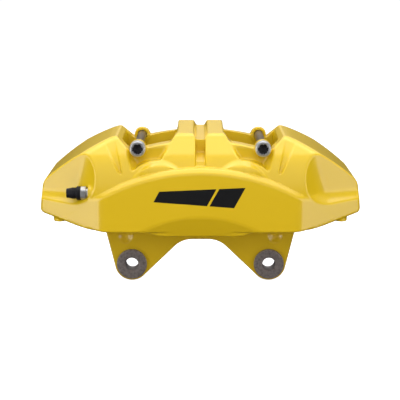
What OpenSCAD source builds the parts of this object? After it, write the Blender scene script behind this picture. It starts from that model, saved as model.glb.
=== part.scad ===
// Four-piston fixed brake caliper, cast and machined in one piece, with two mounting lugs.
//
// Frame, in millimetres:
//   +X runs along the caliper, +Y runs inboard along the disc's axis, +Z runs away from the disc's axis.
// Origin: midway between the two lug bores, on the machined faces of the lug bushes.

/* [Mounting lugs] */
// Distance between the two lug bores
lug_spacing = 130; // [126:1:134]
// Bore of each lug bush, a clearance hole for an M12 bolt
lug_bore_d = 12.2; // [12.1:0.1:12.6]
// Diameter of the bush's flange, the face that the wheel carrier meets
bush_flange_d = 28.5; // [26:0.5:29]
// Thickness of each lug, without the flange
lug_t = 15; // [13:1:17]
// Outer radius of each lug
lug_r = 16.2; // [15.5:0.1:17]

/* [Brake disc] */
// Diameter of the disc that the caliper is made for
disc_d = 345; // [343:1:347]
// Thickness of that disc
disc_t = 30; // [28:1:31]
// Thickness of one pad, with its backing plate
pad_t = 16; // [15:0.5:16.5]
// Depth of the disc's axis below the lug bores
disc_drop = 57; // [56:0.5:58]
// Distance from the bush faces to the disc's middle plane
disc_offset = 26; // [25.5:0.5:27]
// Free space between the disc's rim and the casting
rim_gap = 4; // [3:0.5:4.5]

/* [Cylinders] */
// Diameter of the leading pistons
piston_d_leading = 40; // [38:1:42]
// Diameter of the trailing pistons
piston_d_trailing = 44; // [42:1:45]
// Half the distance between the two cylinders of one side
cylinder_x = 31; // [30:0.5:32]
// Height of the cylinders above the lug bores
cylinder_z = 80; // [79:0.5:81]
// Outer radius of a cylinder barrel
barrel_r = 32.5; // [32:0.5:33]
// Depth of a cylinder
bore_depth = 31; // [30:0.5:32]
// Length of a piston
piston_len = 29; // [27:0.5:29]

/* [Casting] */
// Length of the casting
body_len = 282; // [278:1:286]
// Height of the bridge's flat top above the lug bores
bridge_z = 134.5; // [133:0.5:136]
// Width of the bridge between the two pad windows
bridge_w = 41; // [38:1:44]
// Outer radius of the closed ends, around the disc's axis
end_r = 204; // [202:1:206]
// Radius of the pad windows' edges, around the disc's axis
window_r = 186; // [185:0.5:188]
// Distance from the disc's middle plane to the front panel
front_depth = 71.5; // [70:0.5:73]
// Distance from the disc's middle plane to the back of the casting
back_depth = 72; // [70:0.5:74]

/* [Pad pins] */
// Half the distance between the pad pins
pin_x = 54.3; // [53:0.1:55.5]
// Height of the pad pins above the lug bores
pin_z = 123.4; // [122.5:0.1:124]
// Shank diameter of a pad pin
pin_d = 8; // [7:0.5:8.5]
// Head diameter of a pad pin
pin_head_d = 14; // [13:0.5:15]

/* [Bleed screws] */
// Height of the bleed screws above the lug bores
bleed_z = 85; // [84:0.5:86]
// Distance of the bleed screws from the disc's middle plane
bleed_offset = 60; // [59:0.5:60.5]
// Width across the flats of a bleed screw
bleed_hex_af = 11; // [10:0.5:11]
// Largest diameter of a bleed screw's rubber cap
bleed_cap_d = 12; // [11:0.5:12.5]

/* [Hidden] */
$fn = 96;

PAINT = [0.88, 0.72, 0.14];
STEEL = [0.55, 0.52, 0.52];
PISTON = [0.74, 0.73, 0.70];
ZINC = [0.80, 0.81, 0.83];
RUBBER = [0.06, 0.06, 0.07];

far = 200; // reaches well past the casting on every side
running = 0.05; // radial clearance of a part that turns or slides
disc_y = -disc_offset;
end_x = body_len / 2;
slot_half = disc_t / 2 + pad_t + 0.5; // half the gap between the two halves, where the pads go
rim_half = disc_t / 2 + 5; // half the gap past the pads' ends, where only the disc runs
slot_r = disc_d / 2 + rim_gap;
pad_end_x = 68; // the pads' ends bear on the casting here
window_x = 69; // outer side of the pad windows
front_y = disc_y - front_depth;
back_y = disc_y + back_depth;
shoulder_y = front_y + 4; // front of the casting around the front panel
slope_top_y = disc_y - 40; // where the flat top starts to slope to the front
slope_foot_z = 105; // where that slope meets the shoulder
pocket_y = disc_y - 52; // back wall of the pockets that hold the pin heads
flare_z = 134; // the bridge's sides spread out below this height
bottom_z = 51.5;
lip_z = 47;
bottom_step = [[-53, 51.5], [-50, 56], [50, 56], [53, 51.5]]; // the underside is higher between the barrels
panel_x = 86; // half the front panel's length
panel_arc_r = 182;
panel_arc_z = -74; // centre of the front panel's top arc
scallop_r = 111; // scallop under the front panel, at the panel's face
scallop_z = -45.6;
scallop_depth = 9.5;
scallop_rise = 19; // how far the scallop's radius shrinks over its depth
scoop_x = 97; // start of the scoops that the bleed screws stand in
scoop_floor_z = 81;
scoop_turn = 20; // the scoops follow the swept ends of the casting
groove_w = 8; // floor of the groove along the bridge
groove_mouth_w = 13;
groove_depth = 5;
lug_taper = 12.7; // slope of the lugs' outer edges
arch_flank = 44; // slope of the arch's flanks
arch_r = 24;
arch_z = 23.5;
arch_flat = 7.7; // half the flat part of the arch's crown
plug_x = 124;
plug_offset = 45; // from the disc's middle plane
plug_boss_z = 57.5;
inlet_z = 70;
passage_r = 1.75;
seal_depth = 9; // from a cylinder's mouth to its seal groove

// Places along the disc's axis are distances from its middle plane. Side -1 is outboard, 1 is inboard.
function side_y(side, distance) = disc_y + side * distance;
function piston_d(end) = end < 0 ? piston_d_leading : piston_d_trailing;

// ---------------------------------------------------------------- helpers

// Extrudes an outline drawn in X and Z along Y.
module y_prism(y0, y1) {
    translate([0, y1, 0]) rotate([90, 0, 0]) linear_extrude(y1 - y0) children();
}

// Extrudes an outline drawn in Y and Z along X.
module x_prism(x0, x1) {
    translate([x0, 0, 0]) rotate([90, 0, 90]) linear_extrude(x1 - x0) children();
}

// Extrudes an outline drawn in X and Y along Z.
module z_prism(z0, z1) {
    translate([0, 0, z0]) linear_extrude(z1 - z0) children();
}

// A cylinder around the disc's own axis.
module disc_cylinder(r, y0, y1) {
    translate([0, y1, -disc_drop]) rotate([90, 0, 0]) cylinder(r = r, h = y1 - y0, $fn = 256);
}

// A cylinder along Y that starts at [x, y, z] and runs in the direction of side.
module y_rod(x, y, z, r, len, side = 1) {
    translate([x, y, z]) rotate([side > 0 ? -90 : 90, 0, 0]) cylinder(r = r, h = len);
}

// Places a shape turned about +Z so that its +Z runs from a cylinder's mouth into its depth.
module in_cylinder(end, side) {
    translate([end * cylinder_x, side_y(side, slot_half), cylinder_z])
        rotate([side > 0 ? -90 : 90, 0, 0]) children();
}

module at_both_ends() {
    children();
    mirror([1, 0, 0]) children();
}

// Mirrors a shape of the outboard half to the inboard half.
module at_side(side) {
    translate([0, disc_y, 0]) mirror([0, side > 0 ? 1 : 0, 0]) translate([0, -disc_y, 0]) children();
}

// ---------------------------------------------------------------- casting

// The whole casting before anything is cut away.
module blank() {
    intersection() {
        y_prism(-far, far) polygon(concat(
            [[end_x, 65], [end_x, far], [-end_x, far], [-end_x, 65], [-panel_x - 6, bottom_z]],
            bottom_step, [[panel_x + 6, bottom_z]]
        ));
        disc_cylinder(end_r, -far, far);
        x_prism(-far, far) polygon([
            [shoulder_y, 0], [shoulder_y, slope_foot_z], [slope_top_y, bridge_z],
            [disc_y + 54, bridge_z], [back_y - 4, slope_foot_z], [back_y - 4, 0]
        ]);
        z_prism(0, far) polygon([
            [-94, shoulder_y], [94, shoulder_y], [end_x, disc_y - 44], [end_x, disc_y + 44],
            [94, back_y - 4], [-94, back_y - 4], [-end_x, disc_y + 44], [-end_x, disc_y - 44]
        ]);
    }
}

// What the back loses beside the bridge, above a slope that starts further outboard than the bridge's own.
module wing_back() {
    x_prism(bridge_w / 2 + 1, far) polygon([
        [disc_y + 32, bridge_z], [back_y + 2, 96], [far, 96], [far, far], [disc_y + 32, far]
    ]);
}

// The raised panel on the front, with a chamfer along its top arc.
module front_panel() {
    chamfer = 3.2;
    intersection() {
        y_prism(front_y, slope_top_y) polygon(concat(
            [[94, bottom_z], [94, 115], [-94, 115], [-94, bottom_z]], bottom_step
        ));
        z_prism(0, far) polygon([
            [-panel_x, front_y], [panel_x, front_y], [94, shoulder_y], [94, 0], [-94, 0], [-94, shoulder_y]
        ]);
        translate([0, front_y, panel_arc_z]) rotate([-90, 0, 0]) union() {
            cylinder(r1 = panel_arc_r - chamfer, r2 = panel_arc_r, h = chamfer, $fn = 256);
            translate([0, 0, chamfer - 0.01])
                cylinder(r = panel_arc_r, h = 4 + scallop_depth, $fn = 256);
        }
    }
}

// The two barrels of one half and the web that joins them below.
module barrels(side, depth) {
    y0 = min(side_y(side, slot_half), side_y(side, depth));
    y1 = max(side_y(side, slot_half), side_y(side, depth));
    intersection() {
        union() {
            for (end = [-1, 1])
                y_rod(end * cylinder_x, y0, cylinder_z, barrel_r, y1 - y0);
            y_prism(y0, y1) polygon([
                [-cylinder_x, lip_z], [cylinder_x, lip_z], [cylinder_x, 112], [-cylinder_x, 112]
            ]);
        }
        at_side(side) x_prism(-far, far) polygon([
            [front_y, 0], [front_y, slope_foot_z - 4], [slope_top_y, bridge_z],
            [disc_y, bridge_z], [disc_y, 0]
        ]);
    }
}

// One pocket in the front, around the head of a pad pin.
module pin_pocket() {
    difference() {
        y_prism(-far, pocket_y + 3) polygon([
            [bridge_w / 2, flare_z], [34.8, 113], [34.8, 98], [55, 103],
            [66.7, 123], [70, 129], [70, 160], [bridge_w / 2, 160]
        ]);
        y_rod(cylinder_x, -far, cylinder_z, barrel_r, 2 * far);
    }
}

// The shallow groove down the front slope, between a pocket and the closed end.
module front_channel() {
    intersection() {
        y_prism(-far, far) polygon([[67.8, 102.5], [70.2, 102.5], [88, 136], [88, 140], [76.5, 140]]);
        x_prism(60, 95) polygon([[-93.5, 101.2], [-60, 137.1], [-93.5, 137.1]]);
    }
}

// One open pad window and the lowered edges beside it.
module pad_window() {
    difference() {
        y_prism(-far, far) polygon([
            [39, 98], [34.8, 113], [bridge_w / 2, flare_z],
            [bridge_w / 2, 160], [101, 160]
        ]);
        disc_cylinder(window_r, -far, far);
    }
    translate([bridge_w / 2, disc_y - slot_half, 100])
        cube([window_x - bridge_w / 2, 2 * slot_half, 80]);
}

// The scoop in one end of a half, where a bleed screw stands clear of the casting.
module end_scoop() {
    translate([scoop_x, disc_y - 54.5, scoop_floor_z]) rotate([0, 0, scoop_turn])
        x_prism(-4, 90) polygon([[0, 0], [-40, -38], [-40, 90], [6, 90]]);
}

// The slot that the disc and the pads go into.
module disc_slot() {
    intersection() {
        disc_cylinder(slot_r, disc_y - slot_half, disc_y + slot_half);
        translate([-pad_end_x, -far, 0]) cube([2 * pad_end_x, 2 * far, far]);
    }
    disc_cylinder(slot_r, disc_y - rim_half, disc_y + rim_half);
}

// The groove along the top of the bridge and down its front.
module bridge_groove() {
    y_prism(-far, far) polygon([
        [-groove_w / 2, bridge_z - groove_depth], [groove_w / 2, bridge_z - groove_depth],
        [groove_mouth_w / 2, bridge_z + 0.1], [-groove_mouth_w / 2, bridge_z + 0.1]
    ]);
    x_prism(-groove_w / 2 - 1, groove_w / 2 + 1) polygon([
        [slope_top_y - 1, bridge_z + 1], [slope_top_y - 1, 117], [-88, 109], [-far, 109],
        [-far, bridge_z + 1]
    ]);
}

// The web that carries the two lugs, with an arch between them.
module lug_web() {
    half = lug_spacing / 2;
    difference() {
        y_prism(3, 3 + lug_t) {
            for (s = [-1, 1]) translate([s * half, 0]) circle(r = lug_r);
            polygon(concat(
                lug_side(-1, half), [for (i = [-8:-1]) arch_point(i / 8)],
                [for (i = [1:8]) arch_point(i / 8)], [for (i = [4:-1:0]) lug_side(1, half)[i]]
            ));
        }
        // the pads reach down to here
        translate([-pad_end_x, 0, 46]) cube([2 * pad_end_x, disc_y + slot_half, 40]);
    }
}

// The outline of one lug, from the web's top to the straight flank of the arch.
function lug_side(s, half) = [
    [s * 97, 62], [s * 88.5, 30.4], [s * (half + lug_r * cos(lug_taper)), -lug_r * sin(lug_taper)],
    [s * half, 0], [s * (half - lug_r * sin(arch_flank)), -lug_r * cos(arch_flank)]
];

// A point of the arch's crown, from one flank (-1) to the other (1).
function arch_point(i) = [
    sign(i) * arch_flat + arch_r * sin(i * arch_flank), arch_z - arch_r * (1 - cos(i * arch_flank))
];

// A boss for the far end of each pad pin, and a cradle behind its head.
module pin_bosses() {
    for (s = [-1, 1]) {
        intersection() {
            y_rod(s * pin_x, pocket_y, pin_z, 7, 20.5);
            translate([-far, -far, 0]) cube([2 * far, 2 * far, pin_z + 1.5]);
        }
        y_rod(s * pin_x, side_y(1, slot_half), pin_z, 7, 20.5);
    }
}

module plug_bosses() {
    for (s = [-1, 1])
        translate([s * plug_x, disc_y - plug_offset, plug_boss_z]) cylinder(r = 5.5, h = 10);
}

module inlet_boss() {
    y_rod(0, back_y - 14, inlet_z, 9, 14);
}

// Everything that is machined: cylinders with their grooves, pin holes, ports and passages.
module machining() {
    for (end = [-1, 1], side = [-1, 1]) {
        r = piston_d(end) / 2;
        in_cylinder(end, side) {
            translate([0, 0, -1]) cylinder(r = r + running, h = bore_depth + 1);
            translate([0, 0, seal_depth]) cylinder(r = r + 3.2, h = 4.2);
            translate([0, 0, -1]) cylinder(r = r + 5, h = 6);
        }
    }
    for (s = [-1, 1]) {
        y_rod(s * pin_x, pocket_y - 1, pin_z, pin_d / 2 + running, 110);
        translate([s * plug_x, disc_y - plug_offset, 0]) cylinder(r = 3.5, h = plug_boss_z + 8);
        crossover(s);
    }
    for (side = [-1, 1]) bleed_port(side);
    y_rod(0, back_y - 13, inlet_z, 4.5, 20);
    y_rod(0, back_y - 20, inlet_z, passage_r, 20);
    translate([0, back_y - 18, inlet_z]) rotate([0, 90, 0]) cylinder(r = passage_r, h = 32, center = true);
    for (s = [-1, 1]) translate([s * lug_spacing / 2, 0, 0]) y_rod(0, 0, 0, 9.5, 40);
}

// Threaded seat of a bleed screw, and the passage from it through both cylinders of its half.
module bleed_port(side) {
    y = side_y(side, bleed_offset);
    translate([-scoop_x - 5, y, bleed_z]) rotate([0, 90, 0]) cylinder(r = 4.5 + running, h = 22);
    translate([-scoop_x + 12, y, bleed_z]) rotate([0, 90, 0]) cylinder(r = passage_r, h = 98);
}

// Passages through one closed end, from the outboard cylinder over the disc to the inboard one.
module crossover(s) {
    low = 68;
    high = 82;
    for (side = [-1, 1]) {
        y = side_y(side, plug_offset);
        bottom = side < 0 ? low - 8 : low;
        translate([s * plug_x, y, bottom]) cylinder(r = passage_r, h = high - bottom);
        translate([s * (plug_x / 2 + 22), y, low]) rotate([0, 90, 0])
            cylinder(r = passage_r, h = plug_x - 44, center = true);
    }
    y_rod(s * plug_x, side_y(-1, plug_offset), high, passage_r, 2 * plug_offset);
}

module caliper_body() {
    color(PAINT) difference() {
        union() {
            difference() {
                union() {
                    difference() {
                        blank();
                        disc_slot();
                        at_both_ends() {
                            pad_window();
                            wing_back();
                        }
                        at_both_ends() {
                            pin_pocket();
                            front_channel();
                        }
                        at_both_ends() for (side = [-1, 1]) at_side(side) end_scoop();
                    }
                    barrels(-1, 64);
                    barrels(1, back_depth);
                    front_panel();
                }
                bridge_groove();
                translate([0, front_y + scallop_depth, scallop_z]) rotate([90, 0, 0])
                    cylinder(
                        r1 = scallop_r - scallop_rise, r2 = scallop_r + 1, h = scallop_depth + 0.5, $fn = 256
                    );
            }
            lug_web();
            difference() {
                pin_bosses();
                at_both_ends() wing_back();
            }
            plug_bosses();
            inlet_boss();
        }
        machining();
    }
}

// ---------------------------------------------------------------- fitted parts

// A flanged steel bush, pressed into a lug.
module lug_bush(s) {
    color(STEEL) translate([s * lug_spacing / 2, 0, 0]) rotate([-90, 0, 0]) difference() {
        union() {
            cylinder(r = bush_flange_d / 2, h = 3);
            cylinder(r = 9.5, h = 3 + lug_t);
        }
        translate([0, 0, -1]) cylinder(r = lug_bore_d / 2, h = lug_t + 6);
    }
}

// A hollow piston, open towards its pad, with a groove that holds the dust boot.
module piston(end, side) {
    r = piston_d(end) / 2;
    wall = 4.5;
    color(PISTON) in_cylinder(end, side) translate([0, 0, bore_depth - piston_len - 0.5])
        rotate_extrude() polygon([
            [r - wall, 0], [r - 0.4, 0], [r, 0.4], [r, 0.8], [r - 1.2, 0.8], [r - 1.2, 2.2], [r, 2.2],
            [r, piston_len - 1.5], [r - 1.5, piston_len], [0, piston_len],
            [0, piston_len - 5], [r - wall, piston_len - 5]
        ]);
}

// The square-cut ring that seals a piston and draws it back.
module seal(end, side) {
    r = piston_d(end) / 2;
    color(RUBBER) in_cylinder(end, side) translate([0, 0, seal_depth + 0.1]) difference() {
        cylinder(r = r + 3.1, h = 4);
        translate([0, 0, -1]) cylinder(r = r + running, h = 6);
    }
}

// The folded rubber ring between a cylinder's mouth and its piston.
module boot(end, side) {
    r = piston_d(end) / 2;
    color(RUBBER) in_cylinder(end, side) rotate_extrude() polygon([
        [r - 1.1, 2.4], [r + 0.1, 2.4], [r + 0.1, 0.9], [r + 1.3, 0.9], [r + 1.3, 3.7], [r + 2.2, 3.7],
        [r + 2.2, 0.9],
        [r + 3.4, 0.9], [r + 3.4, 3.7], [r + 4.9, 3.7], [r + 4.9, 4.9], [r + 0.1, 4.9], [r + 0.1, 3.6], [r - 1.1, 3.6]
    ]);
}

// A pad pin: a head with a six-lobed socket, and a shank across the slot.
module pad_pin(s) {
    head_len = 8.5;
    lobes = 6;
    color(ZINC) translate([s * pin_x, pocket_y, pin_z]) rotate([-90, 0, 0]) difference() {
        union() {
            translate([0, 0, -head_len + 1.2]) cylinder(r = pin_head_d / 2, h = head_len - 1.2);
            translate([0, 0, -head_len]) cylinder(r1 = pin_head_d / 2 - 1.2, r2 = pin_head_d / 2, h = 1.2);
            cylinder(r = pin_d / 2, h = 100);
            translate([0, 0, 100]) cylinder(r1 = pin_d / 2, r2 = pin_d / 2 - 1.5, h = 1.5);
        }
        translate([0, 0, -head_len - 0.1]) {
            cylinder(r = 3.5, h = 5);
            for (i = [0:lobes - 1]) rotate([0, 0, i * 360 / lobes])
                translate([3.5, 0, 0]) cylinder(r = 1.2, h = 5, $fn = 24);
        }
    }
}

// Places a shape so that its +Z runs out of a bleed port, towards the leading end.
module in_bleed_port(side) {
    translate([-scoop_x, side_y(side, bleed_offset), bleed_z]) rotate([0, -90, 0]) children();
}

// A bleed screw: threaded shank, hexagon and hollow nipple.
module bleed_screw(side) {
    color(ZINC) in_bleed_port(side) difference() {
        union() {
            translate([0, 0, -14]) cylinder(r1 = 2, r2 = 4.5, h = 2.5);
            translate([0, 0, -11.5]) cylinder(r = 4.5, h = 12.5);
            cylinder(r1 = 4.5, r2 = 5.2, h = 2.4);
            translate([0, 0, 2.2]) cylinder(r = bleed_hex_af / sqrt(3), h = 4.8, $fn = 6);
            translate([0, 0, 6.9]) cylinder(r = 3.4, h = 2.6);
            translate([0, 0, 9.4]) cylinder(r = 2.6, h = 2.2);
            translate([0, 0, 11.6]) cylinder(r = 3.4, h = 1.6);
            translate([0, 0, 13.2]) cylinder(r1 = 3.4, r2 = 2.6, h = 2);
        }
        translate([0, 0, -9]) cylinder(r = 1.1, h = 26);
        translate([0, 0, -9]) rotate([90, 0, 0]) translate([0, 0, -6]) cylinder(r = 0.9, h = 12, $fn = 24);
    }
}

// The rubber cap that keeps dirt out of a bleed screw's nipple.
module bleed_cap(side) {
    color(RUBBER) in_bleed_port(side) difference() {
        union() {
            translate([0, 0, 7.1]) cylinder(r = bleed_cap_d / 2, h = 3.4);
            translate([0, 0, 10.4]) cylinder(r = bleed_cap_d / 2 - 1, h = 4.2);
            translate([0, 0, 14.5]) cylinder(r1 = bleed_cap_d / 2 - 1, r2 = bleed_cap_d / 2 - 2, h = 4.8);
        }
        translate([0, 0, 6]) cylinder(r = 3.4 + running, h = 11);
    }
}

// A plug with a hexagon socket that closes the drilling of a fluid passage.
module passage_plug(s) {
    color(ZINC) translate([s * plug_x, disc_y - plug_offset, plug_boss_z + 0.8]) difference() {
        cylinder(r = 3.5, h = 6);
        translate([0, 0, -0.1]) cylinder(r = 2.3, h = 3, $fn = 6);
    }
}

caliper_body();
lug_bush(-1);  // lug_bush_left
lug_bush(1);  // lug_bush_right
piston(-1, -1);  // piston_outboard_leading
piston(1, -1);  // piston_outboard_trailing
piston(-1, 1);  // piston_inboard_leading
piston(1, 1);  // piston_inboard_trailing
seal(-1, -1);  // seal_outboard_leading
seal(1, -1);  // seal_outboard_trailing
seal(-1, 1);  // seal_inboard_leading
seal(1, 1);  // seal_inboard_trailing
boot(-1, -1);  // boot_outboard_leading
boot(1, -1);  // boot_outboard_trailing
boot(-1, 1);  // boot_inboard_leading
boot(1, 1);  // boot_inboard_trailing
pad_pin(-1);  // pad_pin_left
pad_pin(1);  // pad_pin_right
bleed_screw(-1);  // bleed_screw_outboard
bleed_screw(1);  // bleed_screw_inboard
bleed_cap(-1);  // bleed_cap_outboard
bleed_cap(1);  // bleed_cap_inboard
passage_plug(-1);  // passage_plug_left
passage_plug(1);  // passage_plug_right
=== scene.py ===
"""Looks of a four-piston fixed brake caliper, built around its CAD frame.

Lengths in the shape functions are millimetres in the part's own frame:
x runs along the caliper, y inboard along the disc's axis, z away from that axis.
"""

import math

import bmesh
import bpy
import numpy as np
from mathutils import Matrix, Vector


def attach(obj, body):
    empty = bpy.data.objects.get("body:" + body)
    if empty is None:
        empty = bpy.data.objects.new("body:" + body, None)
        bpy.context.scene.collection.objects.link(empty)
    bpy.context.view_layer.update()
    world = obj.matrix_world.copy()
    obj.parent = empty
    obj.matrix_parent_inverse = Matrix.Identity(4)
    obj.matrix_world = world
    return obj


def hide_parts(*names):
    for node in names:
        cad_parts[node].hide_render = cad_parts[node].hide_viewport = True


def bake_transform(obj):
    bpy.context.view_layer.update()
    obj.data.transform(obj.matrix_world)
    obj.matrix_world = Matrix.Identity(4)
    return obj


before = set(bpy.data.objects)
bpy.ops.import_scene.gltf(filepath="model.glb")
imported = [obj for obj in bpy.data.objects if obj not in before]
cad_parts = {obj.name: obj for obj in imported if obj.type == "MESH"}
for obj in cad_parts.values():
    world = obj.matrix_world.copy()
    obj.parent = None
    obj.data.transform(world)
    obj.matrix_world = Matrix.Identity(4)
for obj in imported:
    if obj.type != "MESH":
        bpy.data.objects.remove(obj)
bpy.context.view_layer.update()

MM = 0.001
DISC_Y = -26.0  # the disc's middle plane
DISC_DROP = 57.0  # the disc's axis lies this far below the lug bores

# ---------------------------------------------------------------- shape words
# A shape is a number at each point: negative inside, positive outside,
# and about the distance to its surface in millimetres.


def meet(a, b, r=0.0):
    """What lies in both shapes, its outer edge rounded by r."""
    if not r:
        return np.maximum(a, b)
    return np.minimum(-r, np.maximum(a, b)) + np.hypot(np.maximum(a + r, 0), np.maximum(b + r, 0))


def join(a, b, r=0.0):
    """Either shape, with a fillet of r between them."""
    return -meet(-a, -b, r)


def cut(a, b, r=0.0):
    """The first shape without the second, the new edge rounded by r."""
    return meet(a, -b, r)


def left_of(u, v, start, end):
    """Distance to the left of a straight line, as seen when going from start to end."""
    du, dv = end[0] - start[0], end[1] - start[1]
    return ((v - start[1]) * du - (u - start[0]) * dv) / math.hypot(du, dv)


def between(u, low, high):
    """What lies between two parallel planes."""
    return np.maximum(low - u, u - high)


def rod(u, v, centre, r):
    """An endless round bar, seen along its length."""
    return np.hypot(u - centre[0], v - centre[1]) - r


# ---------------------------------------------------------------- the casting

CYLINDER_X, CYLINDER_Z = 31.0, 80.0
PISTON_R = {"leading": 20.0, "trailing": 22.0}
PIN_X, PIN_Z = 54.3, 123.4
PLUG_X, PLUG_P = 124.0, -45.0  # p is depth from the disc's middle plane, inboard positive
LUG_X = 65.0
BLEED_P, BLEED_Z = 60.0, 85.0
INLET_Z = 70.0
TOP_Z = 134.5  # the bridge's flat top
SHOULDER = 67.5  # how far out the upright fronts under the slopes stand
OUTER_R = 204.0  # the ends' outline, round the disc's axis
BACK_SLOPE = ((32, TOP_Z), (70, 100))  # the inboard side's slope, as depth and height


def front_slope(p, z):
    """The front of the casting: upright at the shoulder, then one crowned surface to the top."""
    return meet(-p - SHOULDER, left_of(p, z, (-SHOULDER, 105), (-40, TOP_Z)), 14)


def blank(s, p, a, r, z):
    """The casting before anything is cut away.
    s is |x|, p the depth from the disc's plane, a is |p|, r the distance from the disc's axis."""
    low = meet(51.5 - z, left_of(s, z, (141, 65), (92, 51.5)), 5)
    low = meet(low, left_of(s, z, (139.3, 92), (142, 60)), 3.5)
    back = meet(p - 68.0, left_of(p, z, (54, TOP_Z), (68, 105)), 4)
    depth = meet(meet(front_slope(p, z), z - TOP_Z, 2.6), back, 2)
    whole = meet(meet(depth, r - OUTER_R, 4.5), low, 3.5)
    wing_back = meet(-left_of(p, z, *BACK_SLOPE), 22.0 - s, 2)
    whole = cut(whole, wing_back, 1.4)
    return meet(whole, left_of(s, a, (94, SHOULDER), (141, 44)), 2)


def disc_slot(s, a, r):
    """The room for the pads, and the narrower slot that the disc turns in."""
    swept = r - 176.5
    pads = meet(meet(swept, a - 31.5, 4), s - 68.0, 3)
    return np.minimum(pads, meet(swept, a - 20.0, 3))


def bridge_flare(s, z):
    """The bridge's side, spreading out downwards; negative beside the bridge."""
    return np.maximum(left_of(s, z, (34.8, 113.0), (23.5, 131.0)), 20.8 - s)


def pad_window(s, p, a, r, z):
    """The open window over the pads, and the lowered edges round it."""
    straight = meet(meet(between(s, 20.8, 69.0), a - 31.5, 3), 100.0 - z)
    flank = ((s - 60.0) - (z - 119.0)) * math.sqrt(0.5)
    lowered = meet(meet(flank, np.where(p < 0, bridge_flare(s, z), 20.8 - s)), 186.0 - r, 2)
    return np.minimum(straight, lowered)


def pin_pocket(s, p, z):
    """The pocket in the front that a pad pin's head stands in."""
    wall = left_of(s, z, (66.7, 122.9), (55.4, 103.7)) + 0.4 * (p + 56.0)
    hollow = meet(meet(p + 49.0, wall, 3), bridge_flare(s, z), 3)
    return meet(meet(hollow, 98.0 - z), -barrel_crown(s, z), 2)


def barrel_crown(s, z):
    """The top of a barrel where it shows above the front panel."""
    return rod(s, z, (38.0, 84.5), 28.5)


def channel(s, p, z):
    """The groove down the front, narrowing to its foot, between the pocket and the closed end."""
    near_side = left_of(s, z, (68.6, 105.5), (73.5, 125.5))
    far_side = left_of(s, z, (80.2, 121.5), (69.6, 101.5))
    across = meet(near_side, far_side, 0.5)
    return meet(meet(across, -front_slope(p, z) - 0.13 * (127.0 - z), 1.0), 102.0 - z, 2)


def end_scoop(s, a, z):
    """The scoop in each closed end: a turned back wall, a sloping floor, a slanted inner side."""
    turn = math.radians(20)
    depth = (s - 97.0) * math.sin(turn) + (a - 55.0) * math.cos(turn)
    floor = -(z - 81.0 + 0.725 * depth) / 1.235
    high = z - 88.8
    side = (95.0 - 0.32 * high + 0.0026 * high**2 - 0.31 * (a - 57.5) - s) / 1.1
    return meet(meet(-depth, floor, 5), side, 13)


def barrels(s, p, z, side, depth):
    """The two cylinder barrels of one half, with the web between them."""
    q = p * side
    web = meet(between(s, -1, CYLINDER_X), between(z, 46.8, 112))
    wall = np.minimum(rod(s, z, (CYLINDER_X, CYLINDER_Z), 32.5), web)
    if side < 0:
        crown = np.minimum(barrel_crown(s, z), z - 100.0)
        wall = np.where(q > 48.0, np.maximum(wall, crown), wall)
    top = left_of(-q, z, (-71.5, 101.0), (-40.0, TOP_Z))
    return meet(meet(wall, meet(q - depth, 31.5 - q), 1.5), top, 2.5)


def panel_arc(x, z):
    """Distance from the centre that the panel's arched top is drawn round."""
    return np.hypot(x, z + 74.0)


def front_panel(x, s, p, z):
    """The raised panel across the front, with its arched and bevelled top edge."""
    arc = panel_arc(x, z) - 182.0
    face = -p - 71.5
    edge = meet(meet(face, arc), (face + arc + 4.2) * math.sqrt(0.5), 1.2)
    low = meet(meet(51.5 - z, left_of(s, z, (141, 67), (87, 51.5)), 4), p + 52.0)
    taper = left_of(s, -p, (86, 71.5), (94, SHOULDER))
    return meet(meet(edge, low, 2.5), taper, 2)


def scallop(x, p, z):
    """The scooped underside of the panel: part of a wide cone."""
    cone = (np.hypot(x, z + 45.6) - (111.0 - 2.0 * (p + 71.5))) * 0.447
    return meet(cone, p + 62.0)


def bridge_groove(x, s, p, z):
    """The groove along the bridge's top, and down its front as far as the panel."""
    along = meet(left_of(s, z, (6.2, TOP_Z), (3.8, 129.5)), 129.5 - z, 0.8)
    ramp = -left_of(p, z, (-75, 104), (-43, 118))
    down = meet(meet(s - 4.3, p + 42.0), np.minimum(ramp, -front_slope(p, z) - 3.0), 1.0)
    return np.minimum(along, meet(down, 182.6 - panel_arc(x, z)))


def lugs(s, y, z):
    """The web that carries the two lugs, with an arch between them."""
    corner = (7.7, -0.5)
    flank = meet(
        left_of(s, z, (24.4, 16.7), (53.75, -11.65)),
        left_of(s, z, corner, (24.4, 16.7)),
    )
    arch = np.minimum(np.minimum(meet(s - corner[0], z - 23.5), rod(s, z, corner, 24.0)), flank)
    bottom = np.minimum(meet(-11.65 - z, s - LUG_X), -3.5 - z)
    web = meet(cut(bottom, arch), left_of(s, z, (96, 58), (80.8, -3.5)))
    outline = np.minimum(meet(web, z - 62.0), rod(s, z, (LUG_X, 0), 16.2))
    plate = meet(outline, between(y, 3.0, 18.0), 1.6)
    dimple = np.sqrt((s - 71.0) ** 2 + (y + 4.0) ** 2 + (z - 27.0) ** 2) - 9.6
    return cut(cut(plate, dimple, 1.0), meet(meet(s - 68.0, 46.0 - z), y - 5.5))


def pin_boss(s, p, z):
    """A short boss behind each pin's head, and a longer one that the pin's far end sits in."""
    ring = rod(s, z, (PIN_X, PIN_Z), 7.0)
    near = meet(ring, between(p, -52.0, -45.0), 1.0)
    far = meet(meet(ring, between(p, 31.5, 52.0), 1.0), left_of(p, z, *BACK_SLOPE), 1.0)
    return np.minimum(near, far)


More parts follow.
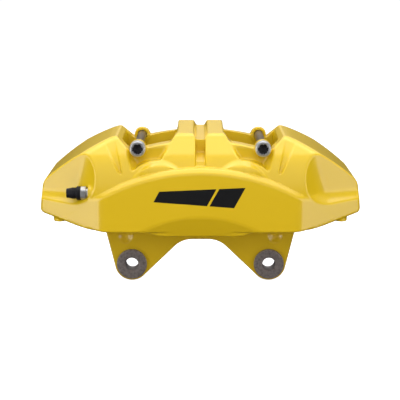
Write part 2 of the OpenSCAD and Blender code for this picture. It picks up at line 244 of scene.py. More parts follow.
def caliper(x, y, z):
    """The whole casting."""
    s, p = np.abs(x), y - DISC_Y
    a, r = np.abs(p), np.hypot(x, z + DISC_DROP)
    shape = blank(s, p, a, r, z)
    shape = cut(shape, disc_slot(s, a, r), 1.5)
    shape = cut(shape, pad_window(s, p, a, r, z), 1.4)
    shape = cut(shape, pin_pocket(s, p, z), 1.6)
    shape = cut(shape, channel(s, p, z), 1.2)
    shape = cut(shape, end_scoop(s, a, z), 1.5)
    shape = join(shape, barrels(s, p, z, -1, 66.0), 2.5)
    shape = join(shape, barrels(s, p, z, 1, 72.0), 2.5)
    shape = join(shape, front_panel(x, s, p, z), 0.3)
    shape = cut(shape, bridge_groove(x, s, p, z), 0.9)
    shape = cut(shape, scallop(x, p, z), 0.9)
    shape = join(shape, lugs(s, y, z), 4.0)
    shape = join(shape, pin_boss(s, p, z), 2.0)
    behind_boss = meet(rod(s, z, (PIN_X, PIN_Z), 5.2), between(p, -45.0, -30.0), 0.8)
    shape = cut(shape, behind_boss, 0.8)
    bleed_boss = meet(rod(a, z, (BLEED_P, BLEED_Z), 6.6), between(-x, 80.0, 97.6), 0.8)
    shape = join(shape, bleed_boss, 1.5)
    plug_boss = meet(rod(s, p, (PLUG_X, PLUG_P), 5.5), between(z, 57.5, 64.0), 0.8)
    shape = join(shape, plug_boss, 1.0)
    inlet = meet(rod(x, z, (0, INLET_Z), 9.0), between(y, 30.0, 46.0), 1.0)
    shape = join(shape, inlet, 3.0)
    return machined(shape, x, s, y, p, a, z)


def left_bare(x, y, z):
    """Where the paint stops: the cylinders and every drilled hole, each with its edge."""
    s, a = np.abs(x), np.abs(y - DISC_Y)
    in_bore = (np.hypot(s - CYLINDER_X, z - CYLINDER_Z) < 27.4) & (a > 31.0) & (a < 63.2)
    in_pin = np.hypot(s - PIN_X, z - PIN_Z) < 4.3
    in_port = (np.hypot(a - BLEED_P, z - BLEED_Z) < 4.9) & (x < -79)
    from_inlet = np.hypot(x, z - INLET_Z)
    in_inlet = (from_inlet < 9.2) & (y > 45.6) | (from_inlet < 4.8) & (y > 32)
    in_lug = np.hypot(s - LUG_X, z) < 9.8
    return in_bore | in_pin | in_port | in_inlet | in_lug


def machined(shape, x, s, y, p, a, z):
    """Everything that is drilled or bored."""
    for end, sign in (("leading", -1), ("trailing", 1)):
        away = np.hypot(x - sign * CYLINDER_X, z - CYLINDER_Z)
        pr = PISTON_R[end]
        boot_recess = meet(away - pr - 5.0, a - 36.5)
        bore = np.minimum(meet(away - pr - 0.05, a - 62.5), boot_recess)
        shape = cut(shape, meet(bore, 29.0 - a), 0.5)
    shape = cut(shape, meet(rod(s, z, (PIN_X, PIN_Z), 4.05), between(p, -56.0, 57.0)), 0.4)
    shape = cut(shape, meet(rod(s, p, (PLUG_X, PLUG_P), 3.5), z - 65.5), 0.4)
    port = meet(rod(a, z, (BLEED_P, BLEED_Z), 4.55), between(-x, 80.0, 110.0))
    shape = cut(shape, port, 0.4)
    shape = cut(shape, meet(rod(x, z, (0, INLET_Z), 4.5), between(y, 33.0, 60.0)), 0.5)
    return cut(shape, meet(rod(s, z, (LUG_X, 0), 9.5), between(y, -10.0, 40.0)), 0.3)


# ---------------------------------------------------------------- from shape to mesh


def zero_surface(shape, low, high, step):
    """Points and four-sided faces over a shape's surface, from a grid with the given step."""
    axes = [np.arange(lo, hi + step, step, dtype=np.float32) for lo, hi in zip(low, high)]
    grid = shape(axes[0][:, None, None], axes[1][None, :, None], axes[2][None, None, :])
    grid = np.broadcast_to(grid, [len(v) for v in axes])
    full = np.array(grid.shape)
    weight = np.zeros(int(np.prod(full)), np.float32)
    place = np.zeros((3, len(weight)), np.float32)
    strides = np.array([full[1] * full[2], full[2], 1])
    faces = []
    inside = grid < 0
    for k in range(3):
        near = [slice(None)] * 3
        far = [slice(None)] * 3
        near[k], far[k] = slice(0, -1), slice(1, None)
        u, v = (k + 1) % 3, (k + 2) % 3
        index = np.argwhere(inside[tuple(near)] != inside[tuple(far)])
        index = index[(index[:, u] > 0) & (index[:, v] > 0)]
        other = index.copy()
        other[:, k] += 1
        here, there = grid[tuple(index.T)], grid[tuple(other.T)]
        t = here / (here - there)
        point = np.stack([axes[n][index[:, n]] for n in range(3)], 1)
        point[:, k] += t * step
        flat = index @ strides
        around = [flat, flat - strides[u], flat - strides[u] - strides[v], flat - strides[v]]
        for cell in around:
            np.add.at(weight, cell, 1)
            for n in range(3):
                np.add.at(place[n], cell, point[:, n])
        quad = np.stack(around, 1)
        flip = here > 0
        quad[flip] = quad[flip][:, ::-1]
        faces.append(quad)
    used = np.flatnonzero(weight)
    points = (place[:, used] / weight[used]).T.astype(np.float64)
    return points, np.searchsorted(used, np.concatenate(faces))


def slope_of(shape, points, reach=0.05):
    """The direction in which a shape's number grows at each point, and how fast."""
    out = np.empty_like(points)
    for n in range(3):
        step = np.zeros(3)
        step[n] = reach
        out[:, n] = shape(*(points + step).T) - shape(*(points - step).T)
    return out / (2 * reach)


def settle(shape, points, rounds, most):
    """Moves the points onto the shape's surface."""
    for _ in range(rounds):
        slope = slope_of(shape, points)
        move = shape(*points.T) / np.maximum((slope**2).sum(1), 0.05)
        points = points - slope * np.clip(move, -most, most)[:, None]
    return points


def mesh_object(name, points, faces):
    """An object from points in millimetres, smooth all over."""
    mesh = bpy.data.meshes.new(name)
    mesh.from_pydata([tuple(v) for v in np.asarray(points) * MM], [], [tuple(f) for f in faces])
    mesh.validate()
    mesh.polygons.foreach_set("use_smooth", [True] * len(mesh.polygons))
    mesh.update()
    obj = bpy.data.objects.new(name, mesh)
    bpy.context.scene.collection.objects.link(obj)
    return obj


def plain_mesh(obj):
    """Replaces an object's mesh by what its modifiers make of it, and drops them."""
    done = bpy.data.meshes.new_from_object(obj.evaluated_get(bpy.context.evaluated_depsgraph_get()))
    obj.modifiers.clear()
    obj.data = done
    return obj


# ---------------------------------------------------------------- turned and drilled pieces

CIRCLE = 96  # points round every turned piece


def turned(name, origin, axis, rings, closed=False):
    """A piece whose rings follow one another along an axis.
    A ring is (place along the axis, radius), and the radius may be a function of the angle.
    closed joins the last ring to the first, as on a washer."""
    along = Vector(axis).normalized()
    side = along.orthogonal().normalized()
    if abs(along.z) < 0.5:
        side = along.cross(Vector((0, 0, 1))).normalized()
    up = side.cross(along)
    angles = [2 * math.pi * n / CIRCLE for n in range(CIRCLE)]
    points, faces = [], []
    for place, radius in rings:
        for t in angles:
            r = radius(t) if callable(radius) else radius
            out = side * math.cos(t) + up * math.sin(t)
            points.append(Vector(origin) + along * place + out * r)
    count = len(rings)
    for k in range(count if closed else count - 1):
        low, high = k * CIRCLE, ((k + 1) % count) * CIRCLE
        for n in range(CIRCLE):
            m = (n + 1) % CIRCLE
            faces.append((low + n, low + m, high + m, high + n))
    if not closed:
        faces.append(tuple(range(CIRCLE))[::-1])
        faces.append(tuple(range((count - 1) * CIRCLE, count * CIRCLE)))
    obj = mesh_object(name, [tuple(v) for v in points], faces)
    tidy = bmesh.new()
    tidy.from_mesh(obj.data)
    bmesh.ops.remove_doubles(tidy, verts=tidy.verts, dist=1e-7)
    bmesh.ops.recalc_face_normals(tidy, faces=tidy.faces)
    tidy.to_mesh(obj.data)
    tidy.free()
    return obj


def bevelled(obj, width, segments=2, angle=30):
    """Small rounded edges wherever two faces meet at more than the angle."""
    bevel = obj.modifiers.new("edges", "BEVEL")
    bevel.width, bevel.segments = width * MM, segments
    bevel.limit_method, bevel.angle_limit = "ANGLE", math.radians(angle)
    bevel.harden_normals = False
    plain_mesh(obj)
    obj.data.shade_smooth()
    obj.data.set_sharp_from_angle(angle=math.radians(38))
    return obj


def hexagon(across, rounding=0.93):
    """Radius of a hexagon with slightly rounded corners, at an angle."""

    def radius(t):
        flat = across / 2 / math.cos((t + math.pi / 6) % (math.pi / 3) - math.pi / 6)
        return min(flat, across / math.sqrt(3) * rounding)

    return radius


def six_lobes(low, high):
    """Radius of a six-lobed socket at an angle."""

    def radius(t):
        wave = 0.5 + 0.5 * math.cos(6 * t)
        return low + (high - low) * wave**0.8

    return radius


def socket_numbers(tree):
    """A node tree's inputs by name, each with the identifier that a modifier sets it by."""
    items = tree.interface.items_tree
    return {item.name: item.identifier for item in items if item.in_out == "INPUT"}


def ridge_tree(name, numbers, build):
    """A node tree that adds ridges to a mesh.
    build makes them, then all is realised and given its material."""
    tree = bpy.data.node_groups.new(name, "GeometryNodeTree")
    tree.interface.new_socket("Geometry", in_out="INPUT", socket_type="NodeSocketGeometry")
    for label, kind in numbers.items():
        tree.interface.new_socket(label, in_out="INPUT", socket_type=kind)
    tree.interface.new_socket("Material", in_out="INPUT", socket_type="NodeSocketMaterial")
    tree.interface.new_socket("Geometry", in_out="OUTPUT", socket_type="NodeSocketGeometry")
    given = tree.nodes.new("NodeGroupInput").outputs

    def node(kind, links):
        made = tree.nodes.new(kind)
        for key, value in links.items():
            if isinstance(value, bpy.types.NodeSocket):
                tree.links.new(value, made.inputs[key])
            else:
                made.inputs[key].default_value = value
        return made

    joined = tree.nodes.new("GeometryNodeJoinGeometry")
    for part in (given["Geometry"], build(node, given)):
        tree.links.new(part, joined.inputs[0])
    real = node("GeometryNodeRealizeInstances", {"Geometry": joined.outputs[0]})
    finish = {"Geometry": real.outputs[0], "Material": given["Material"]}
    coated = node("GeometryNodeSetMaterial", finish)
    tree.links.new(coated.outputs[0], tree.nodes.new("NodeGroupOutput").inputs[0])
    return tree


CIRCLE_NODE = "GeometryNodeCurvePrimitiveCircle"
QUARTER_TURN = (0, math.pi / 2, 0)


def ring_ridges(node, given):
    """Rings along a line, each turned to face along X."""
    line = node("GeometryNodeMeshLine", {
        "Count": given["Count"], "Start Location": given["Start"], "Offset": given["Step"],
    })
    around = node(CIRCLE_NODE, {"Resolution": 72, "Radius": given["Radius"]})
    bead = node(CIRCLE_NODE, {"Resolution": 12, "Radius": given["Bead"]})
    ring = node("GeometryNodeCurveToMesh", {
        "Curve": around.outputs[0], "Profile Curve": bead.outputs[0],
    })
    placed = node("GeometryNodeInstanceOnPoints", {
        "Points": line.outputs[0], "Instance": ring.outputs[0], "Rotation": QUARTER_TURN,
    })
    return placed.outputs[0]


def thread_ridge(node, given):
    """One ridge that winds round X."""
    helix = node("GeometryNodeCurveSpiral", {
        "Resolution": 48, "Rotations": given["Turns"], "Height": given["Length"],
        "Start Radius": given["Radius"], "End Radius": given["Radius"],
    })
    bead = node(CIRCLE_NODE, {"Resolution": 6, "Radius": given["Bead"]})
    ridge = node("GeometryNodeCurveToMesh", {
        "Curve": helix.outputs[0], "Profile Curve": bead.outputs[0], "Fill Caps": True,
    })
    placed = node("GeometryNodeTransform", {
        "Geometry": ridge.outputs[0], "Translation": given["Start"], "Rotation": QUARTER_TURN,
    })
    return placed.outputs[0]


VECTOR, NUMBER, WHOLE = "NodeSocketVector", "NodeSocketFloat", "NodeSocketInt"
RINGS = ridge_tree(
    "grip_rings",
    {"Count": WHOLE, "Start": VECTOR, "Step": VECTOR, "Radius": NUMBER, "Bead": NUMBER},
    ring_ridges,
)
THREAD = ridge_tree(
    "screw_thread",
    {"Turns": NUMBER, "Length": NUMBER, "Start": VECTOR, "Radius": NUMBER, "Bead": NUMBER},
    thread_ridge,
)


def ridged(obj, tree, material, **numbers):
    """Adds a tree's ridges to a mesh. Numbers are metres, or plain counts."""
    ridges = obj.modifiers.new(tree.name, "NODES")
    ridges.node_group = tree
    known = socket_numbers(tree)
    for label, value in {**numbers, "Material": material}.items():
        ridges[known[label]] = value
    return plain_mesh(obj)


def painted_as(obj, *materials):
    """Gives a mesh these materials and no others."""
    obj.data.materials.clear()
    for m in materials:
        obj.data.materials.append(m)
    return obj


# ---------------------------------------------------------------- finishes


class Finish:
    """One material: a Principled shader with the numbers given, and nodes added to it."""

    def __init__(self, name, color, roughness, metallic=0.0, **more):
        self.material = bpy.data.materials.new(name)
        self.material.use_nodes = True
        self.material.diffuse_color = (*color, 1)
        self.tree = self.material.node_tree
        self.shader = self.tree.nodes["Principled BSDF"]
        self.set("Base Color", (*color, 1))
        self.set("Roughness", roughness)
        self.set("Metallic", metallic)
        for key, value in more.items():
            self.set(key.replace("_", " "), value)
        self.place = self.tree.nodes.new("ShaderNodeTexCoord").outputs["Object"]
        self.normal = None

    def set(self, name, value):
        self.shader.inputs[name].default_value = value

    def node(self, kind, values=(), **settings):
        made = self.tree.nodes.new(kind)
        for key, value in settings.items():
            setattr(made, key, value)
        for key, value in dict(values).items():
            if hasattr(value, "links"):
                self.tree.links.new(value, made.inputs[key])
            else:
                made.inputs[key].default_value = value
        return made

    def noise(self, scale, detail=2.0, stretch=None):
        place = self.place
        if stretch:
            place = self.node("ShaderNodeMapping", {"Vector": place, "Scale": stretch}).outputs[0]
        made = self.node("ShaderNodeTexNoise", {"Vector": place, "Scale": scale, "Detail": detail})
        return made.outputs["Fac"]

    def rings(self, centre, spacing, distortion):
        """A wave round a Y axis, as a turning tool leaves it: spacing in millimetres."""
        moved = self.node("ShaderNodeMapping", {
            "Vector": self.place, "Location": [-c * MM for c in centre],
        })
        wave = {
            "Vector": moved.outputs[0], "Scale": 0.314 / (spacing * MM),
            "Distortion": distortion, "Detail": 2.0, "Detail Scale": 3.0,
        }
        made = self.node("ShaderNodeTexWave", wave, wave_type="RINGS", rings_direction="Y")
        return made.outputs["Fac"]

    def scaled(self, value, low, high):
        made = self.node("ShaderNodeMapRange", {"Value": value, "To Min": low, "To Max": high})
        return made.outputs[0]

    def bump(self, height, depth, strength=1.0):
        """Adds relief: depth in millimetres."""
        values = {"Height": height, "Distance": depth * MM, "Strength": strength}
        if self.normal is not None:
            values["Normal"] = self.normal
        self.normal = self.node("ShaderNodeBump", values).outputs[0]
        self.tree.links.new(self.normal, self.shader.inputs["Normal"])

    def color_mix(self, amount, first, second):
        made = self.node("ShaderNodeMix", data_type="RGBA")
        self.tree.links.new(amount, made.inputs[0])
        for index, value in ((6, first), (7, second)):
            if hasattr(value, "links"):
                self.tree.links.new(value, made.inputs[index])
            else:
                made.inputs[index].default_value = (*value, 1)
        return made.outputs[2]

    def link(self, value, name):
        self.tree.links.new(value, self.shader.inputs[name])


def gloss_yellow():
    """The casting's yellow paint under a clear coat, with the plain bar in black."""
    coat = {"Coat_Weight": 0.8, "Coat_Roughness": 0.12}
    f = Finish("gloss_yellow_paint", (0.74, 0.47, 0.010), 0.36, **coat)
    shade = f.scaled(f.noise(14.0, 3.0), 0.0, 1.0)
    yellow = f.color_mix(shade, (0.75, 0.505, 0.008), (0.72, 0.48, 0.006))
    f.link(f.color_mix(mark_mask(f), yellow, (0.008, 0.008, 0.009)), "Base Color")
    f.bump(f.noise(55.0, 1.0), 0.35, 0.35)
    f.bump(f.noise(900.0, 1.0), 0.02, 0.35)
    return f.material


def mark_mask(f):
    """Where the front panel carries its plain black bar: 1 inside, 0 outside.
    Its limits are millimetres on the panel."""
    x, y, z = f.node("ShaderNodeSeparateXYZ", {"Vector": f.place}).outputs

    def maths(operation, *values):
        return f.node("ShaderNodeMath", dict(enumerate(values)), operation=operation).outputs[0]

    def beyond(value, limit, way):
        """1 where value is past the limit, going up (way 1) or down (way -1)."""
        edge = maths("MULTIPLY", maths("SUBTRACT", value, limit * MM), way * 9000.0)
        return f.node("ShaderNodeClamp", {"Value": edge}).outputs[0]

    lean = maths("MULTIPLY_ADD", z, -0.55, x)  # x, measured along the bar's slanted ends
    rise = maths("MULTIPLY_ADD", x, -0.045, z)
    fall = maths("MULTIPLY_ADD", x, 0.075, z)
    mask = beyond(y, -96.5, -1)
    edges = ((lean, -84.0, 1), (lean, -11.5, -1), (rise, 90.0, -1), (fall, 76.0, 1))
    for value, limit, way in edges:
        mask = maths("MULTIPLY", mask, beyond(value, limit, way))
    gap = maths("MULTIPLY", beyond(lean, -36.0, 1), beyond(lean, -33.6, -1))
    return maths("MULTIPLY", mask, maths("SUBTRACT", 1.0, gap))


def bare_aluminium():
    """The casting's metal where a cutter has been."""
    f = Finish("machined_aluminium", (0.60, 0.60, 0.61), 0.32, 1.0)
    f.bump(f.noise(1.0, 2.0, (200, 2200, 200)), 0.02, 0.6)
    f.link(f.scaled(f.noise(120.0, 3.0), 0.25, 0.42), "Roughness")
    return f.material


def turned_steel(name, centre):
    """A lug bush's brown-grey steel, with the rings of its facing cut round its centre."""
    f = Finish(name, (0.30, 0.27, 0.26), 0.55, 0.75)
    ring = f.rings(centre, 0.55, 0.6)
    speck = f.noise(420.0, 4.0)
    base = f.color_mix(f.scaled(ring, 0.15, 0.85), (0.34, 0.29, 0.285), (0.46, 0.41, 0.40))
    f.link(f.color_mix(f.scaled(speck, -1.1, 1.5), base, (0.17, 0.15, 0.145)), "Base Color")
    f.bump(ring, 0.03, 0.6)
    f.bump(speck, 0.03, 0.5)
    return f.material


def zinc_plated():
    """Bright plated steel, a little patchy."""
    f = Finish("zinc_plated_steel", (0.65, 0.65, 0.67), 0.38, 0.82)
    patch = f.noise(210.0, 3.0)
    f.link(f.color_mix(patch, (0.72, 0.72, 0.74), (0.56, 0.57, 0.59)), "Base Color")
    f.link(f.scaled(f.noise(600.0, 2.0), 0.26, 0.40), "Roughness")
    f.bump(f.noise(900.0, 3.0), 0.01, 0.5)
    return f.material


def painted_socket_shade():
    """Painted shade: a near-black steel laid on the inside of a pin's drive socket, standing in for
    the shade in that recess.
    """
    f = Finish("socket_painted_shade", (0.035, 0.034, 0.04), 0.5, 0.6)
    f.link(f.color_mix(f.noise(500.0, 3.0), (0.02, 0.02, 0.028), (0.07, 0.065, 0.06)), "Base Color")
    f.bump(f.noise(900.0, 2.0), 0.02, 0.5)
    return f.material


def reflecting_shank_finish():
    """A pad pin's shank, ground round, its base tinted brown as a painted reflection of the yellow
    paint around it.
    """
    f = Finish("shank_steel_painted_reflection", (0.15, 0.12, 0.10), 0.34, 1.0)
    # Painted reflection: patchy warm browns standing in for the yellow paint that the shank
    # mirrors.
    f.link(f.color_mix(f.noise(90.0, 4.0), (0.22, 0.16, 0.11), (0.44, 0.37, 0.30)), "Base Color")
    f.bump(f.noise(1.0, 2.0, (200, 2400, 200)), 0.015, 0.6)
    return f.material


def hard_anodised():
    """The pistons' dark grey-brown surface, with fine marks along their length."""
    f = Finish("hard_anodised_piston", (0.30, 0.30, 0.27), 0.42, 0.9)
    f.link(f.scaled(f.noise(300.0, 3.0), 0.36, 0.5), "Roughness")
    f.bump(f.noise(1.0, 2.0, (150, 2600, 150)), 0.015, 0.6)
    return f.material


def black_rubber(name, roughness):
    """Rubber that is nearly black, slightly cloudy and finely pitted."""
    f = Finish(name, (0.006, 0.006, 0.008), roughness, 0.0, Specular_IOR_Level=0.3)
    black = f.color_mix(f.noise(160.0, 4.0), (0.005, 0.005, 0.007), (0.012, 0.012, 0.016))
    f.link(black, "Base Color")
    f.bump(f.noise(1500.0, 3.0), 0.03, 0.5)
    return f.material


PAINT = gloss_yellow()
BARE = bare_aluminium()
ZINC = zinc_plated()
SOCKET_SHADE = painted_socket_shade()
SHANK = reflecting_shank_finish()
ANODISED = hard_anodised()
BOOT_RUBBER = black_rubber("boot_rubber", 0.7)
CAP_RUBBER = black_rubber("cap_rubber", 0.5)

# ---------------------------------------------------------------- the casting's mesh

GRID_STEP = 1.15
GRID_LOW, GRID_HIGH = (-146, -101, -19), (146, 50, 138)  # a few millimetres past the casting
points, faces = zero_surface(caliper, GRID_LOW, GRID_HIGH, GRID_STEP)
points = settle(caliper, points, 3, 0.4)
casting = mesh_object("casting", points, faces)
MOST_TRIANGLES = 196000
if 2 * len(faces) > MOST_TRIANGLES:
    thin = casting.modifiers.new("thin", "DECIMATE")
    thin.ratio = MOST_TRIANGLES / (2 * len(faces))
    plain_mesh(casting)
flat = np.empty(3 * len(casting.data.vertices))
casting.data.vertices.foreach_get("co", flat)
final = settle(caliper, flat.reshape(-1, 3) / MM, 1, 0.1)
casting.data.vertices.foreach_set("co", (final * MM).ravel())
casting.data.shade_smooth()
painted_as(casting, PAINT, BARE)
casting.data.update()
centres = np.empty(3 * len(casting.data.polygons))
casting.data.polygons.foreach_get("center", centres)
bare = left_bare(*(centres.reshape(-1, 3) / MM).T)
casting.data.polygons.foreach_set("material_index", bare.astype(np.int32))
normals = slope_of(caliper, final)
normals /= np.linalg.norm(normals, axis=1, keepdims=True)
casting.data.normals_split_custom_set_from_vertices([tuple(n) for n in normals])
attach(casting, "casting")
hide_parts("caliper_body")

# ---------------------------------------------------------------- fitted pieces


def fitted(obj, body, node, slot, *materials):
    """Gives a piece its finish, its body and the node whose place it takes."""
    painted_as(obj, *materials)
    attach(obj, body)
    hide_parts(node)
    return obj


# The bush, pad pin and passage plug of each side.
for side, sign in (("left", -1), ("right", 1)):
    bush = turned(
        f"lug_bush_{side}_turned", (sign * LUG_X, 0, 0), (0, 1, 0),
        [(0.8, 6.1), (0, 6.95), (0, 13.75), (0.5, 14.25), (3, 14.25), (3, 9.5),
         (17.6, 9.5), (18, 9.1), (18, 6.6), (17.5, 6.1)],
        closed=True,
    )
    bevelled(bush, 0.15)
    steel = turned_steel(f"turned_steel_{side}", (sign * LUG_X, 0, 0))
    fitted(bush, "casting", f"lug_bush_{side}", "machined_steel", steel)

    y = DISC_Y - 52
    socket = six_lobes(3.3, 4.7)
    pin = turned(
        f"pad_pin_{side}_detailed", (sign * PIN_X, y, PIN_Z), (0, 1, 0),
        [(-3.0, 0.01), (-3.6, 1.0), (-3.9, socket), (-8.0, socket), (-8.4, six_lobes(3.7, 5.1)),
         (-8.5, 5.5), (-8.1, 6.4), (-7.0, 7.0), (-0.9, 7.0), (-0.3, 6.8), (0, 6.4),
         (0, 4.0), (88, 4.0), (89, 3.6), (100.2, 3.6), (101.5, 2.5)],
    )
    bevelled(pin, 0.2, 2, 40)
    fitted(pin, f"{side}_pad_pin", f"pad_pin_{side}", "zinc_steel", ZINC, SOCKET_SHADE, SHANK)
    # Faces deep in the drive socket take the painted shade, the shank its own finish, the rest
    # plated steel.
    for face in pin.data.polygons:
        c = face.center / MM
        out = math.hypot(c.x - sign * PIN_X, c.z - PIN_Z)
        in_socket = c.y < y - 2.5 and out < 4.55
        face.material_index = 1 if in_socket else 2 if c.y > y + 0.1 else 0

    plug = turned(
        f"passage_plug_{side}_detailed", (sign * PLUG_X, DISC_Y + PLUG_P, 58.3), (0, 0, 1),
        [(2.9, 0.01), (2.9, hexagon(4)), (0.3, hexagon(4)), (0, hexagon(4.5)),
         (0, 3.1), (0.4, 3.5), (6, 3.5)],
    )
    fitted(bevelled(plug, 0.1), "casting", f"passage_plug_{side}", "zinc_steel", ZINC)

# The bleed screw and rubber cap of each half.
for half, p in (("outboard", -BLEED_P), ("inboard", BLEED_P)):
    origin = (-97.0, DISC_Y + p, BLEED_Z)
    nut = hexagon(11)
    screw = turned(
        f"bleed_screw_{half}_detailed", origin, (-1, 0, 0),
        [(-9, 0.01), (-9, 1.1), (-8.9, 1.1), (-13.9, 1.1), (-14, 2), (-11.5, 4.5), (1, 4.5),
         (1.6, 4.2), (2.0, 4.3), (2.3, 5.2), (2.4, nut), (6.6, nut), (7.0, 5.2), (7.0, 3.4),
         (9.4, 3.4), (9.5, 2.6), (11.5, 2.6), (11.6, 3.4), (13.2, 3.4), (15.2, 2.6), (15.2, 1.1),
         (10.2, 1.1), (10.2, 0.01)],
    )
    thread_start = tuple(MM * v for v in (origin[0] + 0.5, origin[1], origin[2]))
    ridged(
        bevelled(screw, 0.15), THREAD, ZINC, Turns=10.0, Length=10.5 * MM,
        Start=thread_start, Radius=4.3 * MM, Bead=0.22 * MM,
    )
    fitted(screw, f"{half}_bleed_screw", f"bleed_screw_{half}", "zinc_steel", ZINC)
    cap = turned(
        f"bleed_cap_{half}_ribbed", origin, (-1, 0, 0),
        [(17, 0.01), (17, 3.2), (16.8, 3.45), (7.4, 3.45), (7.1, 3.8), (7.1, 5.6), (7.4, 6.0),
         (10.0, 6.0), (10.5, 5.6), (10.7, 4.9), (11.2, 4.8), (14.4, 4.8), (14.7, 4.7),
         (19.0, 4.0), (19.3, 3.7), (19.3, 1.2), (19.3, 0.01)],
    )
    first_rib = tuple(MM * v for v in (origin[0] - 11.9, origin[1], origin[2]))
    ridged(
        bevelled(cap, 0.2, 3), RINGS, CAP_RUBBER, Count=3, Start=first_rib,
        Step=(-1.1 * MM, 0, 0), Radius=4.75 * MM, Bead=0.3 * MM,
    )
    fitted(cap, f"{half}_bleed_cap", f"bleed_cap_{half}", "cap_rubber", CAP_RUBBER)

# The piston, dust boot and seal of each cylinder.
for half, way in (("outboard", -1), ("inboard", 1)):
    for end, sign in (("leading", -1), ("trailing", 1)):
        r = PISTON_R[end]
        mouth = (sign * CYLINDER_X, DISC_Y + way * 31.5, CYLINDER_Z)
        axis = (0, way, 0)
        piston = turned(
            f"piston_{half}_{end}_turned", mouth, axis,
            [(25.5, 0.01), (25.5, r - 5.3), (24.7, r - 4.5), (1.5, r - 4.5), (1.5, r - 0.4),
             (1.9, r), (2.3, r), (2.3, r - 1.2), (3.7, r - 1.2), (3.7, r), (29.0, r),
             (30.5, r - 1.5), (30.5, 0.01)],
        )
        body, node = f"{half}_{end}_piston", f"piston_{half}_{end}"
        fitted(bevelled(piston, 0.2), body, node, "anodised_piston", ANODISED)
        boot = turned(
            f"boot_{half}_{end}_folded", mouth, axis,
            [(2.4, r - 1.1), (2.4, r + 0.1), (0.9, r + 0.1), (0.9, r + 1.3), (3.7, r + 1.3),
             (3.7, r + 2.2), (0.9, r + 2.2), (0.9, r + 3.4), (3.7, r + 3.4), (3.7, r + 4.9),
             (4.9, r + 4.9), (4.9, r + 0.1), (3.6, r + 0.1), (3.6, r - 1.1)],
            closed=True,
        )
        bevelled(boot, 0.3, 3)
        painted_as(boot, BOOT_RUBBER)
        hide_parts(f"boot_{half}_{end}")
        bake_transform(boot)
        seal = turned(
            f"seal_{half}_{end}_ring", mouth, axis,
            [(9.1, r + 0.05), (9.1, r + 3.1), (13.1, r + 3.1), (13.1, r + 0.05)],
            closed=True,
        )
        fitted(bevelled(seal, 0.3), "casting", f"seal_{half}_{end}", "black_rubber", BOOT_RUBBER)

# ---------------------------------------------------------------- room, light and camera


def softbox(name, place, aim, width, height, power, color=(1, 1, 1), glossy=True):
    """A soft rectangular light. glossy says whether it shows in reflections."""
    data = bpy.data.lights.new(name, "AREA")
    data.shape, data.size, data.size_y = "RECTANGLE", width, height
    data.energy, data.color = power, color
    lamp = bpy.data.objects.new(name, data)
    lamp.location = place
    lamp.rotation_euler = (Vector(aim) - Vector(place)).to_track_quat("-Z", "Y").to_euler()
    lamp.visible_glossy = glossy
    bpy.context.scene.collection.objects.link(lamp)
    return lamp


# The object is lit by a dim room, brighter above and behind; the camera sees plain white.
world = bpy.data.worlds.new("studio")
bpy.context.scene.world = world
world.use_nodes = True
tree = world.node_tree
tree.nodes.clear()
output = tree.nodes.new("ShaderNodeOutputWorld")
room = tree.nodes.new("ShaderNodeBackground")
looking = tree.nodes.new("ShaderNodeTexCoord")
parts = tree.nodes.new("ShaderNodeSeparateXYZ")
tree.links.new(looking.outputs["Generated"], parts.inputs[0])


def ramp(value, low, high, top):
    """A smooth rise of the room's brightness, from 0 at low to top at high."""
    made = tree.nodes.new("ShaderNodeMapRange")
    made.interpolation_type = "SMOOTHSTEP"
    for label, number in {"From Min": low, "From Max": high, "To Min": 0.0, "To Max": top}.items():
        made.inputs[label].default_value = number
    tree.links.new(parts.outputs[value], made.inputs["Value"])
    return made.outputs[0]


def combined(operation, a, b):
    """Two of the room's values, or one and a number, in one sum or product."""
    made = tree.nodes.new("ShaderNodeMath")
    made.operation = operation
    tree.links.new(a, made.inputs[0])
    if isinstance(b, float):
        made.inputs[1].default_value = b
    else:
        tree.links.new(b, made.inputs[1])
    return made.outputs[0]


behind = combined("MULTIPLY", ramp("Y", 0.2, 0.9, 0.6), ramp("Z", 0.05, 0.2, 1.0))
above = combined("ADD", ramp("Z", 0.3, 1.0, 0.4), 0.04)
tree.links.new(combined("ADD", behind, above), room.inputs["Strength"])
backdrop = tree.nodes.new("ShaderNodeBackground")
backdrop.inputs["Color"].default_value = (1, 1, 1, 1)
backdrop.inputs["Strength"].default_value = 1.05
pick = tree.nodes.new("ShaderNodeMixShader")
ray = tree.nodes.new("ShaderNodeLightPath")
tree.links.new(ray.outputs["Is Camera Ray"], pick.inputs[0])
tree.links.new(room.outputs[0], pick.inputs[1])
tree.links.new(backdrop.outputs[0], pick.inputs[2])
tree.links.new(pick.outputs[0], output.inputs["Surface"])

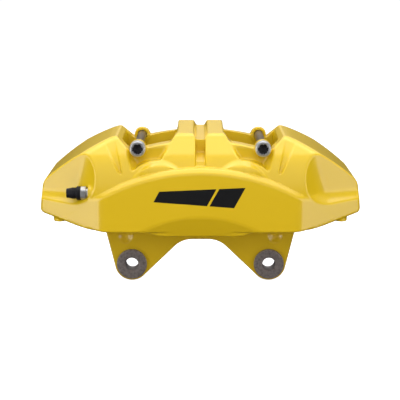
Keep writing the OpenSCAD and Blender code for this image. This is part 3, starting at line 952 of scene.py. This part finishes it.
floor_mesh = bpy.data.meshes.new("studio_floor")
reach = 3.0
floor_z = -0.0163
around = ((-reach, -reach), (reach, -reach), (reach, reach), (-reach, reach))
floor_mesh.from_pydata([(u, v, floor_z) for u, v in around], [], [(0, 1, 2, 3)])
floor = bpy.data.objects.new("studio_floor", floor_mesh)
bpy.context.scene.collection.objects.link(floor)
white = Finish("studio_white", (0.3, 0.3, 0.3), 0.9)
white.set("Emission Color", (1, 1, 1, 1))
white.set("Emission Strength", 1.0)
floor_mesh.materials.append(white.material)
floor.visible_glossy = False
floor.visible_diffuse = False
floor.visible_shadow = False

AIM = (0, -0.03, 0.07)
softbox("overhead", (0, 0.0, 1.0), AIM, 1.5, 0.9, 6.0)
softbox("overhead_fill", (0, 0.4, 0.8), AIM, 0.9, 0.5, 7.0, glossy=False)
softbox("front_high", (0, -0.9, 0.9), AIM, 1.2, 0.5, 4.4, glossy=False)
softbox("front_fill", (0, -1.2, 0.45), AIM, 1.4, 0.5, 5.5, glossy=False)
softbox("low_fill", (0, -0.8, -0.7), (0, -0.05, 0.04), 1.2, 0.3, 2.0, (1, 0.84, 0.62), glossy=False)
softbox("left_high", (-0.95, 0.1, 0.75), AIM, 0.6, 0.6, 3.4, glossy=False)
softbox("right_high", (0.95, 0.1, 0.75), AIM, 0.6, 0.6, 3.4, glossy=False)
softbox("left_card", (-0.95, -0.74, 0.10), AIM, 0.5, 0.9, 4.0)
softbox("right_card", (0.95, -0.74, 0.10), AIM, 0.5, 0.9, 3.0)

TARGET = Vector((-0.0003, -0.030, 0.068))
ELEVATION = math.radians(11)
CAMERA_REACH = 1.150
camera_data = bpy.data.cameras.new("camera")
camera_data.lens, camera_data.sensor_width = 113.13, 36.0
camera_data.clip_end = 20
camera = bpy.data.objects.new("camera", camera_data)
toward_camera = Vector((0, -math.cos(ELEVATION), math.sin(ELEVATION)))
camera.location = TARGET + CAMERA_REACH * toward_camera
camera.rotation_euler = (TARGET - camera.location).to_track_quat("-Z", "Y").to_euler()
bpy.context.scene.collection.objects.link(camera)
bpy.context.scene.camera = camera
bpy.context.scene.view_settings.view_transform = "Standard"
